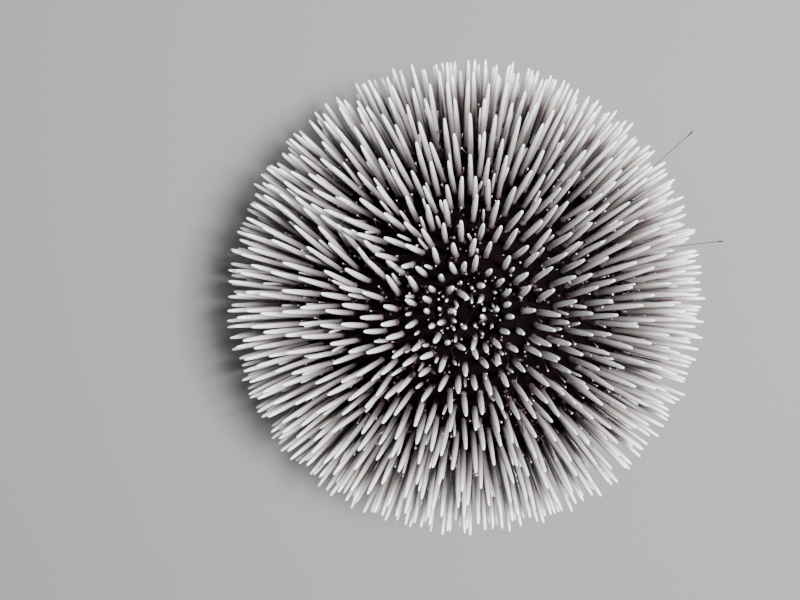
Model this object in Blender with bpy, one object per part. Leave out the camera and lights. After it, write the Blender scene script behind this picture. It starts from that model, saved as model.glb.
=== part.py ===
"""A violet sea urchin, life size, standing on the spines of its underside.

The shell, which zoologists call the test, is parted into its ten meridional zones: five ambulacra,
where the tube feet come out, and five wider interambulacra between them. Each zone carries its own
spines. The plates of the apical disc on top, and the membrane and teeth of the mouth below, are
separate pieces.

Units are metres. +Z runs from the mouth up to the apex, and the origin is on the floor under the
middle of the body. A share along a meridian runs from 0 at the apical disc to 1 at the mouth.
"""

import math
import random

import bmesh
import bpy
import numpy as np
from mathutils import Matrix, Vector

# The test
TEST_RADIUS = 0.0475
UPPER_HEIGHT = 0.0360  # from the widest ring up to the apex
LOWER_HEIGHT = 0.0195  # from the widest ring down to the base
FLOOR_CLEARANCE = 0.0095  # from the floor up to the base
UPPER_FULLNESS = 2.15  # exponents of the two half outlines, where 2 is an ellipse
LOWER_FULLNESS = 2.60
MOUTH_SINK = 0.0020  # how far the underside dips in towards the mouth
MOUTH_SINK_RADIUS = 0.0240
WIDEST_Z = FLOOR_CLEARANCE + LOWER_HEIGHT
OUTLINE_STEPS = 13

# The ten zones
ZONE_PAIRS = 5
FIRST_AMBULACRUM = math.radians(19)
AMBULACRUM_ANGLE = math.radians(30)
INTERAMBULACRUM_ANGLE = math.radians(42)
ZONE_STEP = math.radians(7.5)
AXIS_CLEARANCE = 0.0006  # the zones stop this far from the axis
GAP = 0.0003  # between pieces that touch

# The apical disc
APICAL_RADIUS = 0.0083
PERIPROCT_RADIUS = 0.0033
PLATE_THICKNESS = 0.0022
OCULAR_SLANT = math.radians(40)  # of the two sides of an ocular plate
OCULAR_REACH = 0.0049  # from the axis to the planes of those sides
ANUS_RADIUS = 0.0008

# The mouth
PERISTOME_RADIUS = 0.0122
MEMBRANE_THICKNESS = 0.0016
LIP_RADIUS = 0.0046
LIP_DROP = 0.0012
TOOTH_RADIUS = 0.0041
TOOTH_DROP = 0.0024
TOOTH_TIP_RADIUS = 0.0010
PODIUM_RING = 0.0078
PODIUM_LENGTH = 0.0030
PODIUM_RADIUS = 0.0006
GILL_RING = 0.0112
GILL_LENGTH = 0.0030
GILL_RADIUS = 0.0004

# The spines
ROW_PITCH = 0.0042
SERIES_PITCH = {"ambulacrum": 0.0042, "interambulacrum": 0.0040}
FIRST_ROW = 0.0015  # from the apical disc to the first spine of a column
STAGGER = 0.25  # of a series' width, off its middle, to the one side and the other from row to row
ROOT_WANDER = 0.0004
CUT_CLEARANCE = 0.0012  # from a spine's axis to the cut between two zones, from its root to its tip
SPINE_RADIUS = 0.0009
SPINE_SIDES = 4
PLAIN_SIDES = 3  # of the spines on the apical disc, and of those of the underside
PLAIN_SHARE = 0.67  # the share of the meridian from which they are plain
ROOT_DEPTH = 0.0016
STANDING_HEIGHT = 0.0008  # a spine whose tip comes this low stands on the floor
TAPER = 0.80  # of the spine's radius, at its shoulder
SHOULDER = 0.84  # of the spine's length, where the tip begins
SPINE_LENGTHS = ((0, 0.0140), (0.10, 0.0165), (0.30, 0.0192), (0.60, 0.0198), (0.80, 0.0172), (1, 0.0100))
SPINE_LEANS = ((0, -3), (0.10, -4), (0.20, -8), (0.32, -8), (0.45, -2), (0.58, 2), (0.74, -10), (0.86, -32),
               (1, -42))  # degrees outwards
SPINE_WANDER = math.radians(2.2)
WAVES = ((0.020, 3, 5.0, 0.4), (0.015, 5, -8.0, 2.0))  # of the lean aside: size, waves round, waves down, start
FOLD = math.radians(148)  # where the spines of two zones lean together
FOLD_LEAN = math.radians(12)
FOLD_WIDTH = math.radians(12)
FOLD_SHARE = 0.25  # the share of the meridian where the fold is deepest, and its reach either way
FOLD_REACH = 0.22
RIB_MIDDLE = math.radians(-37)  # where spines stand in ribs with open lanes between them
RIB_WIDTH = math.radians(32)
RIB_CLOSENESS = 0.62  # how much of the stagger the ribs take away
RIB_SHARES = ((0.03, 0), (0.12, 1), (0.50, 1), (0.62, 0))
ALL_LEAN = math.radians(6.5)  # of all spines of the upper side together
ALL_LEAN_TO = math.radians(103)  # azimuth
ALL_LEAN_SHARES = ((0.30, 1), (0.60, 0))
PLATE_SPINES = ((0.0067, 12, 0.0105, 0.00080), (0.0048, -10, 0.0085, 0.00075), (0.0071, -20, 0.0050, 0.00060))
PLATE_SPINE_LEANS = (-30, 12)  # degrees outwards at the axis and at the disc's edge

# Colours
TEST_VIOLET = (0.045, 0.012, 0.050)
SPINE_WHITE = (0.62, 0.58, 0.60)
PLATE_VIOLET = (0.070, 0.022, 0.075)
MEMBRANE_BROWN = (0.110, 0.040, 0.060)
TOOTH_WHITE = (0.80, 0.78, 0.72)

MESH_COLLECTION = "violet_sea_urchin"


def outline_point(lift):
    """Radius and height of the test's outline, from a lift of -90 degrees at the mouth to 90 at the apex."""
    upper = lift >= 0
    fullness = UPPER_FULLNESS if upper else LOWER_FULLNESS
    height = UPPER_HEIGHT if upper else LOWER_HEIGHT
    radius = TEST_RADIUS * max(math.cos(lift), 0.0) ** (2 / fullness)
    z = WIDEST_Z + math.copysign(height * abs(math.sin(lift)) ** (2 / fullness), lift)
    if not upper and radius < MOUTH_SINK_RADIUS:
        share = 1 - radius / MOUTH_SINK_RADIUS
        z += MOUTH_SINK * share * share * (3 - 2 * share)
    return radius, z


class Meridian:
    """The test's outline from the apical disc's edge down to the mouth's, measured along its arc."""

    def __init__(self, samples=1200):
        points = [outline_point(math.pi / 2 - math.pi * i / samples) for i in range(samples + 1)]
        first = next(i for i, (radius, _) in enumerate(points) if radius > APICAL_RADIUS)
        last = max(i for i, (radius, _) in enumerate(points) if radius > PERISTOME_RADIUS)
        self.points = np.array(points[first:last + 1])
        steps = np.hypot(*np.diff(self.points, axis=0).T)
        self.arcs = np.concatenate([[0], np.cumsum(steps)])
        self.length = float(self.arcs[-1])

    def at(self, arc):
        """Radius, height, and the angle of the outward normal down from +Z."""
        radius, z = (float(np.interp(arc, self.arcs, self.points[:, i])) for i in (0, 1))
        before, after = (max(0.0, arc - 0.0005), min(self.length, arc + 0.0005))
        rise = [float(np.interp(after, self.arcs, self.points[:, i])) for i in (0, 1)]
        rise = [a - float(np.interp(before, self.arcs, self.points[:, i])) for i, a in enumerate(rise)]
        return radius, z, math.atan2(-rise[1], rise[0])


MERIDIAN = Meridian()


def height_at(radius, top):
    """Height of the test's surface at a radius, on its upper side or its underside."""
    lifts = np.linspace(0, math.pi / 2, 400) * (1 if top else -1)
    points = np.array([outline_point(lift) for lift in lifts])
    return float(np.interp(-radius, -points[:, 0], points[:, 1]))


def blend(anchors, share):
    """The value of a list of (share, value) anchors at a share between them."""
    return float(np.interp(share, [a[0] for a in anchors], [a[1] for a in anchors]))


def direction(azimuth, from_up, aside=0.0):
    """Unit vector at an azimuth and an angle down from +Z, turned aside towards larger azimuths."""
    across = Vector((-math.sin(azimuth), math.cos(azimuth), 0))
    ahead = Vector((math.cos(azimuth) * math.sin(from_up), math.sin(azimuth) * math.sin(from_up), math.cos(from_up)))
    return ahead * math.cos(aside) + across * math.sin(aside)


class Zone:
    """One of the ten meridional zones, with its two columns of plates."""

    def __init__(self, kind, number):
        self.kind = kind
        self.name = f"{kind}_{number}"
        turn = math.tau * (number - 1) / ZONE_PAIRS
        if kind == "ambulacrum":
            self.middle = FIRST_AMBULACRUM + turn
            self.half = AMBULACRUM_ANGLE / 2
        else:
            self.middle = FIRST_AMBULACRUM + turn + math.pi / ZONE_PAIRS
            self.half = INTERAMBULACRUM_ANGLE / 2

    def clearance(self, point):
        """Distance from a point to the nearer of the zone's two cuts, negative outside the zone."""
        off = math.atan2(point.y, point.x) - self.middle
        off = abs((off + math.pi) % math.tau - math.pi)
        return math.hypot(point.x, point.y) * math.sin(min(self.half - off, math.pi / 2))


def zones():
    """The ten zones in order round the body."""
    return [Zone(kind, n + 1) for n in range(ZONE_PAIRS) for kind in ("ambulacrum", "interambulacrum")]


def stagger(azimuth, share, odd):
    """A spine's place across its series, as a share of its width, nearer the middle where there are ribs."""
    off = (azimuth - RIB_MIDDLE + math.pi) % math.tau - math.pi
    window = math.exp(-(off / RIB_WIDTH) ** 4) * blend(RIB_SHARES, share)
    return 0.5 + (-STAGGER if odd else STAGGER) * (1 - RIB_CLOSENESS * window)


def spine_sites(zone):
    """Every second spine of a zone's rows, as (azimuth, arc, draw), where draw is its own random source.

    Each half of a zone is a column of plates with as many spines side by side as have room on it, and
    each row stands in the gaps of the row before it.
    """
    for column, side in enumerate((-1, 1)):
        rows = math.ceil((MERIDIAN.length - FIRST_ROW) / ROW_PITCH)
        for row in range(rows):
            arc = FIRST_ROW + row * ROW_PITCH
            if arc > MERIDIAN.length - ROOT_DEPTH:
                continue
            radius = MERIDIAN.at(arc)[0]
            count = max(1, round(radius * zone.half / SERIES_PITCH[zone.kind]))
            turn = row if count == 1 else row // 2
            for series in range(count):
                if (turn + series + column) % 2:
                    continue
                draw = random.Random(f"{zone.name} {column} {row} {series}")
                room = radius * zone.half
                middle = zone.middle + side * (series + 0.5) * zone.half / count
                place = series + stagger(middle, arc / MERIDIAN.length, (row + column) % 2 == 1)
                across = place * room / count + draw.uniform(-1, 1) * ROOT_WANDER
                across = min(across, room - CUT_CLEARANCE)
                yield zone.middle + side * across / radius, arc + draw.uniform(-1, 1) * ROOT_WANDER, draw


def side_lean(azimuth, share):
    """How far the spines lean aside: in slow waves over the test, and together at the fold."""
    lean = sum(size * math.sin(around * azimuth + down * share + start) for size, around, down, start in WAVES)
    near = ((azimuth - FOLD + math.pi) % math.tau - math.pi) / FOLD_WIDTH
    depth = math.exp(-((share - FOLD_SHARE) / FOLD_REACH) ** 2)
    return lean - FOLD_LEAN * depth * near * math.sqrt(2 * math.e) * math.exp(-near * near)


def add_spine(pieces, base, towards, length, radius, root_depth=ROOT_DEPTH, sides=SPINE_SIDES, floor=False):
    """Adds one tapering spine to a list of closed meshes, with its root sunk below the surface."""
    shoulder = length * SHOULDER
    bm = bmesh.new()
    bmesh.ops.create_cone(bm, cap_ends=True, segments=sides, radius1=radius, radius2=radius * TAPER,
                          depth=shoulder + root_depth)
    end = max(bm.faces, key=lambda face: face.calc_center_median().z)
    bmesh.ops.translate(bm, verts=bm.verts, vec=(0, 0, (shoulder - root_depth) / 2))
    turn = towards.to_track_quat("Z", "Y").to_matrix().to_4x4()
    end_verts = list(end.verts)
    if not floor:
        bmesh.ops.poke(bm, faces=[end], offset=length - shoulder)
    bmesh.ops.transform(bm, matrix=Matrix.Translation(base) @ turn, verts=bm.verts)
    if floor:
        for vert in end_verts:
            vert.co -= towards * (vert.co.z / towards.z)
            vert.co.z = 0.0
    mesh = bpy.data.meshes.new("spine")
    bm.to_mesh(mesh)
    bm.free()
    pieces.append(mesh)


def zone_spines(zone):
    """The closed meshes of a zone's spines."""
    pieces = []
    for azimuth, arc, draw in spine_sites(zone):
        share = arc / MERIDIAN.length
        radius, z, normal = MERIDIAN.at(arc)
        base = Vector((radius * math.cos(azimuth), radius * math.sin(azimuth), z))
        leaning = ALL_LEAN * blend(ALL_LEAN_SHARES, share)
        from_up = normal + math.radians(blend(SPINE_LEANS, share)) + draw.gauss(0, SPINE_WANDER)
        from_up += leaning * math.cos(azimuth - ALL_LEAN_TO)
        aside = side_lean(azimuth, share) + draw.gauss(0, SPINE_WANDER) - leaning * math.sin(azimuth - ALL_LEAN_TO)
        length = blend(SPINE_LENGTHS, share) * draw.uniform(0.94, 1.04)
        towards = direction(azimuth, from_up, aside)
        while zone.clearance(base + towards * length) < CUT_CLEARANCE and abs(aside) > 0.01:
            aside *= 0.8
            towards = direction(azimuth, from_up, aside)
        stands = (base + towards * length).z < STANDING_HEIGHT
        sides = PLAIN_SIDES if share > PLAIN_SHARE else SPINE_SIDES
        add_spine(pieces, base, towards, length, SPINE_RADIUS, sides=sides, floor=stands)
    return pieces


def keep_largest(bm):
    """Removes all but the largest closed surface of a mesh."""
    shells = []
    left = set(bm.faces)
    while left:
        shell = {left.pop()}
        edge = list(shell)
        while edge:
            for link in (other for e in edge.pop().edges for other in e.link_faces):
                if link in left:
                    left.remove(link)
                    shell.add(link)
                    edge.append(link)
        shells.append(shell)
    shells.sort(key=lambda shell: sum(face.calc_area() for face in shell))
    loose = [face for shell in shells[:-1] for face in shell]
    if loose:
        bmesh.ops.delete(bm, geom=loose, context="FACES")


def cut(bm, point, normal):
    """Cuts away what lies on the normal's side of a plane, and closes the cut."""
    geometry = bm.verts[:] + bm.edges[:] + bm.faces[:]
    made = bmesh.ops.bisect_plane(bm, geom=geometry, plane_co=point, plane_no=normal, clear_outer=True)
    rim = [part for part in made["geom_cut"] if isinstance(part, bmesh.types.BMEdge)]
    if rim:
        bmesh.ops.holes_fill(bm, edges=rim, sides=0)


def turned(profile, start, angle, steps):
    """A solid made by turning a closed profile of (radius, height) points about the Z axis."""
    bm = bmesh.new()
    verts = [bm.verts.new((radius * math.cos(start), radius * math.sin(start), z)) for radius, z in profile]
    face = bm.faces.new(verts)
    bmesh.ops.spin(bm, geom=[face, *face.edges, *face.verts], cent=(0, 0, 0), axis=(0, 0, 1), angle=angle,
                   steps=steps, use_duplicate=False)
    bmesh.ops.recalc_face_normals(bm, faces=bm.faces)
    return bm


def turned_full(profile, steps):
    """A solid of revolution from an open profile whose two ends lie on the Z axis, or a closed ring."""
    bm = bmesh.new()
    verts = [bm.verts.new((radius, 0, z)) for radius, z in profile]
    pairs = list(zip(verts, verts[1:]))
    if profile[0][0] > 0:
        pairs.append((verts[-1], verts[0]))
    edges = [bm.edges.new(pair) for pair in pairs]
    bmesh.ops.spin(bm, geom=verts + edges, cent=(0, 0, 0), axis=(0, 0, 1), angle=math.tau, steps=steps,
                   use_merge=True, use_duplicate=False)
    bmesh.ops.remove_doubles(bm, verts=bm.verts, dist=0.00002)
    bmesh.ops.recalc_face_normals(bm, faces=bm.faces)
    return bm


def cut_sector(bm, middle, half, gap=GAP):
    """Cuts a solid to a sector about the axis, with half a gap along each side."""
    for side in (-1, 1):
        edge = middle + side * half
        normal = Vector((-math.sin(edge), math.cos(edge), 0)) * side
        cut(bm, normal * (-gap / 2), normal)


def zone_profile():
    """The closed profile of a zone's solid, with the two recesses for the apical disc and the mouth."""
    arcs = [MERIDIAN.length * i / OUTLINE_STEPS for i in range(OUTLINE_STEPS + 1)]
    outline = [MERIDIAN.at(arc)[:2] for arc in arcs]
    recess_top = height_at(APICAL_RADIUS, True) - PLATE_THICKNESS - GAP
    recess_below = height_at(PERISTOME_RADIUS, False) + MEMBRANE_THICKNESS + GAP
    top = [(AXIS_CLEARANCE, recess_top), (outline[0][0], recess_top)]
    below = [(outline[-1][0], recess_below), (AXIS_CLEARANCE, recess_below)]
    return top + outline + below


def make_zone(zone):
    """A zone's plates as one solid wedge of the test, with its spines fused on."""
    steps = max(2, math.ceil(2 * zone.half / ZONE_STEP) + 1)
    reach = zone.half + ZONE_STEP / 2
    bm = turned(zone_profile(), zone.middle - reach, 2 * reach, steps)
    cut_sector(bm, zone.middle, zone.half)
    return fused(zone.name, bm, zone_spines(zone), TEST_VIOLET, 0.6, SPINE_WHITE)


def material(name, colour, roughness):
    """A Principled material, made once and used again under its name."""
    found = bpy.data.materials.get(name)
    if found:
        return found
    made = bpy.data.materials.new(name)
    made.use_nodes = True
    shader = made.node_tree.nodes["Principled BSDF"]
    shader.inputs["Base Color"].default_value = (*colour, 1)
    shader.inputs["Roughness"].default_value = roughness
    made.diffuse_color = (*colour, 1)
    return made


def finished(name, bm, colour, roughness=0.5):
    """The named object of a finished solid, in the model's collection."""
    mesh = bpy.data.meshes.new(name)
    bmesh.ops.recalc_face_normals(bm, faces=bm.faces)
    bm.to_mesh(mesh)
    bm.free()
    mesh.materials.append(material(name, colour, roughness))
    piece = bpy.data.objects.new(name, mesh)
    bpy.data.collections[MESH_COLLECTION].objects.link(piece)
    return piece


def fused(name, bm, grown, colour, roughness, grown_colour):
    """A solid with all that grows from it joined on by one union."""
    piece = finished(name, bm, colour, roughness)
    piece.data.materials.append(material(f"{name}_spines", grown_colour, 0.4))
    joined = bpy.data.collections.new(f"{name}_grown")
    bpy.context.scene.collection.children.link(joined)
    for mesh in grown:
        mesh.materials.append(piece.data.materials[1])
        joined.objects.link(bpy.data.objects.new(f"{name}_grown", mesh))
    union = piece.modifiers.new("union", "BOOLEAN")
    union.operation = "UNION"
    union.operand_type = "COLLECTION"
    union.collection = joined
    union.solver = "EXACT"
    union.material_mode = "TRANSFER"
    bpy.context.view_layer.update()
    result = bpy.data.meshes.new_from_object(piece.evaluated_get(bpy.context.evaluated_depsgraph_get()))
    piece.modifiers.clear()
    piece.data = result
    for helper in list(joined.objects):
        bpy.data.objects.remove(helper)
    bpy.data.collections.remove(joined)
    bm = bmesh.new()
    bm.from_mesh(result)
    keep_largest(bm)
    bm.to_mesh(result)
    bm.free()
    result.name = name
    return piece


def plate_profile(inner, outer):
    """The closed profile of the apical disc's plates between two radii."""
    base = height_at(APICAL_RADIUS, True) - PLATE_THICKNESS
    middle = (inner + outer) / 2
    rim = [(radius, height_at(radius, True)) for radius in (outer, middle, inner)]
    return [(inner, base), (outer, base), *rim]


def plate_spines(azimuth):
    """The spines of a genital plate whose middle is at an azimuth."""
    pieces = []
    for radius, off, length, thickness in PLATE_SPINES:
        turn = azimuth + math.radians(off)
        base = Vector((radius * math.cos(turn), radius * math.sin(turn), height_at(radius, True)))
        lean = math.radians(float(np.interp(radius, (0, APICAL_RADIUS), PLATE_SPINE_LEANS)))
        add_spine(pieces, base, direction(turn, lean), length, thickness, 0.0012, PLAIN_SIDES)
    return pieces


def make_apical_disc():
    """The periproct, and the five genital and five ocular plates round it, on the test's top."""
    inner = PERIPROCT_RADIUS + GAP
    outer = APICAL_RADIUS - GAP
    for number in range(ZONE_PAIRS):
        ocular = FIRST_AMBULACRUM + math.tau * number / ZONE_PAIRS
        bm = turned(plate_profile(inner, outer), ocular - math.radians(24), math.radians(48), 6)
        for side in (-1, 1):
            normal = direction(ocular + side * OCULAR_SLANT, math.pi / 2)
            cut(bm, normal * (OCULAR_REACH + GAP / 2), -normal)
        finished(f"ocular_plate_{number + 1}", bm, PLATE_VIOLET)

        genital = ocular + math.pi / ZONE_PAIRS
        bm = turned(plate_profile(inner, outer), genital - math.radians(42), math.radians(84), 10)
        cut_sector(bm, genital, math.pi / ZONE_PAIRS)
        for side in (-1, 1):
            normal = direction(genital + side * (math.pi / ZONE_PAIRS + OCULAR_SLANT), math.pi / 2)
            cut(bm, normal * (OCULAR_REACH - GAP / 2), normal)
        name = "madreporite" if number == 0 else f"genital_plate_{number}"
        fused(name, bm, plate_spines(genital), PLATE_VIOLET, 0.5, SPINE_WHITE)

    base = height_at(APICAL_RADIUS, True) - PLATE_THICKNESS
    crown = height_at(0.001, True)
    profile = [(0, base), (PERIPROCT_RADIUS, base), (PERIPROCT_RADIUS, crown - 0.0001),
               (PERIPROCT_RADIUS * 0.7, crown + 0.0004), (ANUS_RADIUS * 1.5, crown + 0.0005),
               (ANUS_RADIUS, crown - 0.0004), (0, crown - 0.0006)]
    finished("periproct", turned_full(profile, 20), PLATE_VIOLET)


def make_mouth():
    """The membrane round the mouth with its podia and gills, and the five teeth in the middle."""
    edge = height_at(PERISTOME_RADIUS, False)
    ceiling = edge + MEMBRANE_THICKNESS
    outer = PERISTOME_RADIUS - GAP
    profile = [(LIP_RADIUS, ceiling), (outer, ceiling), (outer, edge), (LIP_RADIUS * 1.7, edge - LIP_DROP * 0.3),
               (LIP_RADIUS * 1.25, edge - LIP_DROP), (LIP_RADIUS, edge - LIP_DROP * 0.8)]
    grown = []
    for number in range(ZONE_PAIRS):
        middle = FIRST_AMBULACRUM + math.tau * number / ZONE_PAIRS
        for side in (-1, 1):
            podium = middle + side * math.radians(9)
            base = Vector((PODIUM_RING * math.cos(podium), PODIUM_RING * math.sin(podium), edge - LIP_DROP * 0.3))
            towards = direction(podium, math.radians(165))
            add_spine(grown, base, towards, PODIUM_LENGTH, PODIUM_RADIUS, 0.0009, PLAIN_SIDES)
            gill = middle + side * math.radians(24)
            base = Vector((GILL_RING * math.cos(gill), GILL_RING * math.sin(gill), edge))
            for spread in (-24, 0, 24):
                towards = direction(gill, math.radians(150), math.radians(spread))
                add_spine(grown, base, towards, GILL_LENGTH, GILL_RADIUS, 0.0009, PLAIN_SIDES)
    fused("peristome", turned_full(profile, 20), grown, MEMBRANE_BROWN, 0.45, MEMBRANE_BROWN)

    tip = edge - LIP_DROP - TOOTH_DROP
    profile = [(AXIS_CLEARANCE, ceiling), (TOOTH_RADIUS, ceiling), (TOOTH_RADIUS, edge),
               (TOOTH_RADIUS * 0.8, edge - LIP_DROP), (TOOTH_TIP_RADIUS, tip), (AXIS_CLEARANCE, tip)]
    for number in range(ZONE_PAIRS):
        middle = FIRST_AMBULACRUM + math.tau * (number + 0.5) / ZONE_PAIRS
        bm = turned(profile, middle - math.radians(42), math.radians(84), 6)
        cut_sector(bm, middle, math.pi / ZONE_PAIRS)
        finished(f"tooth_{number + 1}", bm, TOOTH_WHITE, 0.35)


def main():
    for leftover in list(bpy.data.objects):
        bpy.data.objects.remove(leftover)
    model = bpy.data.collections.new(MESH_COLLECTION)
    bpy.context.scene.collection.children.link(model)
    for zone in zones():
        make_zone(zone)
    make_apical_disc()
    make_mouth()


main()
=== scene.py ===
"""The looks of a life-size violet sea urchin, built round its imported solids.

The animal stands on the spines of its underside. One skin covers the test. Over it stand the long
spines in their rows, the short spines between them, the stalked pincers with pale heads, and the
tube feet of the five ambulacra. The plates of the apical disc lie on top, and the mouth with its
membrane, podia, gills and teeth lies below.

All sizes are metres in the frame of the solids: +Z from the mouth up to the apex, the origin on the
floor. A share along a meridian runs from 0 at the apical disc to 1 at the mouth.
"""
import logging
import math
import random
from dataclasses import dataclass, field
from enum import Enum

import bmesh
import bpy
import numpy as np
from mathutils import Matrix, Vector


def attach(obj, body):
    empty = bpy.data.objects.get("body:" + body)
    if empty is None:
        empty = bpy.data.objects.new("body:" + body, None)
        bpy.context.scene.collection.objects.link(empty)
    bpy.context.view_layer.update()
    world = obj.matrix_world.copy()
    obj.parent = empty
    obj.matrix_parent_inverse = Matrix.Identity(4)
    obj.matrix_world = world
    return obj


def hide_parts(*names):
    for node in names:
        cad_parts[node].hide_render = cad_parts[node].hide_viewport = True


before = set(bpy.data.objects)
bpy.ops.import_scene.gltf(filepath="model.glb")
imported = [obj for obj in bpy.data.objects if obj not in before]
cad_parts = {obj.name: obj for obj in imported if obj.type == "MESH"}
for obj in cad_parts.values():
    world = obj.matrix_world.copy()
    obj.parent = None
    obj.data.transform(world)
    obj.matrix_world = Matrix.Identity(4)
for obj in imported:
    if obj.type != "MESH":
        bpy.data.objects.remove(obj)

log = logging.getLogger("sea_urchin")
BODY = "root"
SECTORS = 5
FIRST_AMBULACRUM = math.radians(19)
ROOT_SINK = 0.0002
BAKE_MAP = "OFBake"
SHAFT_MAP = "Shaft"
TONE = "tone"


def between(anchors: tuple[tuple[float, float], ...], share: float) -> float:
    """Reads a value between (share, value) anchors.

    Args:
        anchors: Pairs of share and value, in rising order of share.
        share: Where to read.

    Returns:
        The value on the straight line between the two nearest anchors.
    """
    return float(np.interp(share, [a[0] for a in anchors], [a[1] for a in anchors]))


def direction(azimuth: float, from_up: float, aside: float = 0.0) -> Vector:
    """Gives a unit vector by its angles.

    Args:
        azimuth: Angle about +Z from +X.
        from_up: Angle down from +Z.
        aside: Turn towards larger azimuths, out of the meridian's plane.

    Returns:
        The unit vector.
    """
    across = Vector((-math.sin(azimuth), math.cos(azimuth), 0))
    ahead = Vector((math.cos(azimuth) * math.sin(from_up), math.sin(azimuth) * math.sin(from_up),
                    math.cos(from_up)))
    return ahead * math.cos(aside) + across * math.sin(aside)


def polar(radius: float, azimuth: float, z: float) -> Vector:
    """A point by its distance from the Z axis, its azimuth and its height."""
    return Vector((radius * math.cos(azimuth), radius * math.sin(azimuth), z))


def off_from(azimuth: float, middle: float) -> float:
    """The angle from a middle to an azimuth, from minus to plus half a turn."""
    return (azimuth - middle + math.pi) % math.tau - math.pi


def golden_azimuth(number: int) -> float:
    """The azimuth of the next of many points that are spread evenly by the golden angle."""
    return number * math.pi * (3 - math.sqrt(5))


class TestShape:
    """The outline of the test, the same as the solids' own."""

    radius = 0.0475
    upper_height = 0.0360
    lower_height = 0.0195
    widest_z = 0.0290
    upper_fullness = 2.15
    lower_fullness = 2.60
    mouth_sink = 0.0020
    mouth_sink_radius = 0.0240
    apical_radius = 0.0083
    peristome_radius = 0.0122

    def __init__(self) -> None:
        """Measures the outline along its arc, from the apical disc's edge to the mouth region's."""
        points = [self.outline_point(math.pi / 2 - math.pi * i / 1200) for i in range(1201)]
        first = next(i for i, (radius, _) in enumerate(points) if radius > self.apical_radius)
        last = max(i for i, (radius, _) in enumerate(points) if radius > self.peristome_radius)
        self.points = np.array(points[first:last + 1])
        self.arcs = np.concatenate([[0], np.cumsum(np.hypot(*np.diff(self.points, axis=0).T))])
        self.length = float(self.arcs[-1])

    def outline_point(self, lift: float) -> tuple[float, float]:
        """Radius and height of the outline at a lift from -90 degrees, the mouth, to 90, the apex."""
        upper = lift >= 0
        fullness = self.upper_fullness if upper else self.lower_fullness
        height = self.upper_height if upper else self.lower_height
        radius = self.radius * max(math.cos(lift), 0.0) ** (2 / fullness)
        z = self.widest_z + math.copysign(height * abs(math.sin(lift)) ** (2 / fullness), lift)
        if not upper and radius < self.mouth_sink_radius:
            share = 1 - radius / self.mouth_sink_radius
            z += self.mouth_sink * share * share * (3 - 2 * share)
        return radius, z

    def at(self, arc: float) -> tuple[float, float, float]:
        """Radius, height and the outward normal's angle down from +Z at an arc along the meridian."""
        radius, z = (float(np.interp(arc, self.arcs, self.points[:, i])) for i in (0, 1))
        ends = (max(0.0, arc - 0.0005), min(self.length, arc + 0.0005))
        rise = [float(np.diff(np.interp(ends, self.arcs, self.points[:, i]))[0]) for i in (0, 1)]
        return radius, z, math.atan2(-rise[1], rise[0])

    def height_at(self, radius: float, top: bool) -> float:
        """Height of the surface at a radius, on the upper side or on the underside."""
        lifts = np.linspace(0, math.pi / 2, 400) * (1 if top else -1)
        points = np.array([self.outline_point(lift) for lift in lifts])
        return float(np.interp(-radius, -points[:, 0], points[:, 1]))

    def place(self, azimuth: float, arc: float, lift: float = 0.0) -> Vector:
        """A point on the test, or a lift above it along its normal."""
        radius, z, normal = self.at(arc)
        return polar(radius, azimuth, z) + direction(azimuth, normal) * lift


SHAPE = TestShape()


class ZoneKind(Enum):
    """The two kinds of meridional zones, with the half of their angle and the pitch of their series."""

    AMBULACRUM = ("ambulacrum", math.radians(15), 0.0042)
    INTERAMBULACRUM = ("interambulacrum", math.radians(21), 0.0040)

    @property
    def word(self) -> str:
        """The kind's name as the solids' names have it."""
        return self.value[0]

    @property
    def half(self) -> float:
        """Half of the zone's angle."""
        return self.value[1]

    @property
    def pitch(self) -> float:
        """The distance between two series of spines beside each other."""
        return self.value[2]


@dataclass(frozen=True)
class Zone:
    """One meridional zone of the test."""

    kind: ZoneKind
    number: int

    @property
    def name(self) -> str:
        """The zone's name, which is its solid's name too."""
        return f"{self.kind.word}_{self.number}"

    @property
    def middle(self) -> float:
        """The azimuth of the zone's middle."""
        turn = math.tau * (self.number - 1) / SECTORS
        half_step = math.pi / SECTORS if self.kind is ZoneKind.INTERAMBULACRUM else 0.0
        return FIRST_AMBULACRUM + turn + half_step


ZONES = [Zone(kind, n + 1) for n in range(SECTORS) for kind in ZoneKind]


@dataclass
class Spine:
    """One spine's root, pointing and size, before its mesh is made."""

    zone: Zone
    azimuth: float
    arc: float
    towards: Vector
    length: float
    radius: float
    # How far its colour goes to the worn ramp: partly real wear, mostly painted shade.
    tone: float
    roll: float

    @property
    def base(self) -> Vector:
        """The root's place on the test."""
        return SHAPE.place(self.azimuth, self.arc)


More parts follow.
